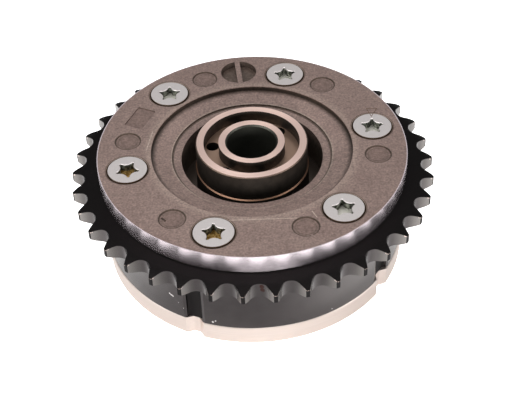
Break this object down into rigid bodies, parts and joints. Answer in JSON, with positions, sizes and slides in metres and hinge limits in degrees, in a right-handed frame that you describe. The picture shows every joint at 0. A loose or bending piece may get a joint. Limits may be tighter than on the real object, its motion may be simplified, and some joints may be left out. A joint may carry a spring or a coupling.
{
  "type": "camshaft timing gear with variable valve timing adjuster",
  "caption": "Roller-chain camshaft gear with a vane-type oil pressure timing adjuster inside its drum, countersunk screws, oil hub and rear plate.",
  "frame": {"origin": "centre of the flat rear face of the rear plate, which the part rests on", "axes": "+Z along the camshaft axis from the rear plate to the hub, +X through the middle of a tooth"},
  "size_m": [0.1174, 0.117, 0.0411],
  "materials": {
    "black_steel": "satin black oxide",
    "steam_treated_sinter": "satin, steam treated, turned rim",
    "turned_plate_steel": "fine turned",
    "zinc_screw_steel": "satin zinc",
    "ground_hub_steel": "turned and ground",
    "hardened_steel": "ground",
    "spring_steel": "satin"
  },
  "bodies": {
    "housing": {"sprocket_housing": "black_steel", "front_cover": "steam_treated_sinter", "rear_plate": "turned_plate_steel", "cover_screws": "zinc_screw_steel", "lock_bush": "hardened_steel"},
    "rotor": {"rotor": "ground_hub_steel", "vane_1": "hardened_steel", "vane_2": "hardened_steel", "vane_3": "hardened_steel", "vane_4": "hardened_steel", "vane_5": "hardened_steel", "vane_6": "hardened_steel", "vane_spring_1": "spring_steel", "vane_spring_2": "spring_steel", "vane_spring_3": "spring_steel", "vane_spring_4": "spring_steel", "vane_spring_5": "spring_steel", "vane_spring_6": "spring_steel", "lock_spring": "spring_steel", "lock_spring_seat": "hardened_steel"},
    "lock_pin": {"lock_pin": "hardened_steel"}
  },
  "joints": [
    {"name": "rotor_swing", "type": "hinge", "parent": "housing", "child": "rotor", "pos_m": [0, 0, 0.02], "axis": [0, 0, 1], "range_deg": [0, 26]},
    {"name": "lock_pin_slide", "type": "slide", "parent": "rotor", "child": "lock_pin", "axis": [0, 0, 1], "range_m": [0, 0.0008], "stiffness_N_per_m": 150, "springref_m": -0.0008, "deforming": ["lock_spring"]}
  ]
}
